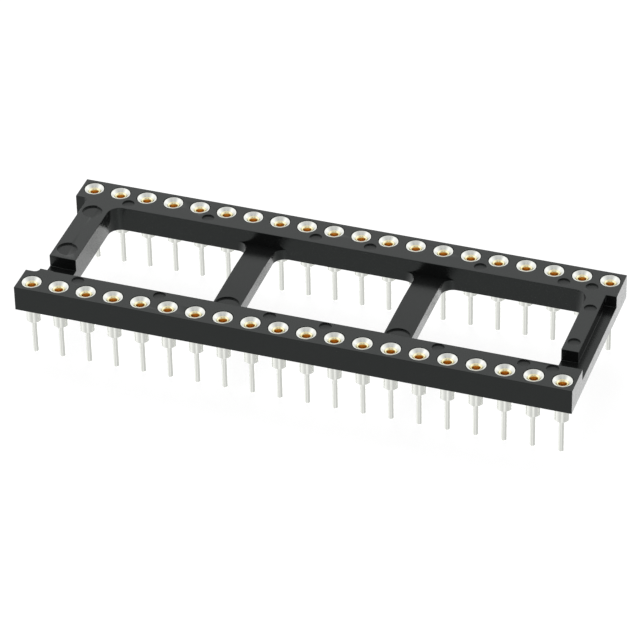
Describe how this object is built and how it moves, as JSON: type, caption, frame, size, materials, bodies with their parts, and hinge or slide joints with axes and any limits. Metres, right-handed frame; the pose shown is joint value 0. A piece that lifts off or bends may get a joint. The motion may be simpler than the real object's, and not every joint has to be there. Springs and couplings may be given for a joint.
{
  "type": "dip socket",
  "caption": "Dual in-line chip socket: open black moulded frame with two rows of turned contacts, funnel mouths with gold spring clips above and solder tails below.",
  "frame": {"origin": "middle of the contact grid on the board's surface, where the sleeves' shoulders sit", "axes": "+X along the rows from the notched end, +Y from the front row (contact 1) to the rear row, +Z away from the board"},
  "size_m": [0.0506, 0.0178, 0.0076],
  "materials": {
    "frame_plastic": "moulded, semi-matt black",
    "tin_plate": "turned brass with bright tin plate",
    "gold_plate": "stamped spring alloy with gold plate"
  },
  "bodies": {
    "root": {"insulator": "frame_plastic", "sleeve_01": "tin_plate", "sleeve_02": "tin_plate", "sleeve_03": "tin_plate", "sleeve_04": "tin_plate", "sleeve_05": "tin_plate", "sleeve_06": "tin_plate", "sleeve_07": "tin_plate", "sleeve_08": "tin_plate", "sleeve_09": "tin_plate", "sleeve_10": "tin_plate", "sleeve_11": "tin_plate", "sleeve_12": "tin_plate", "sleeve_13": "tin_plate", "sleeve_14": "tin_plate", "sleeve_15": "tin_plate", "sleeve_16": "tin_plate", "sleeve_17": "tin_plate", "sleeve_18": "tin_plate", "sleeve_19": "tin_plate", "sleeve_20": "tin_plate", "sleeve_21": "tin_plate", "sleeve_22": "tin_plate", "sleeve_23": "tin_plate", "sleeve_24": "tin_plate", "sleeve_25": "tin_plate", "sleeve_26": "tin_plate", "sleeve_27": "tin_plate", "sleeve_28": "tin_plate", "sleeve_29": "tin_plate", "sleeve_30": "tin_plate", "sleeve_31": "tin_plate", "sleeve_32": "tin_plate", "sleeve_33": "tin_plate", "sleeve_34": "tin_plate", "sleeve_35": "tin_plate", "sleeve_36": "tin_plate", "sleeve_37": "tin_plate", "sleeve_38": "tin_plate", "sleeve_39": "tin_plate", "sleeve_40": "tin_plate", "clips_front_row": "gold_plate", "clips_rear_row": "gold_plate"}
  },
  "joints": []
}
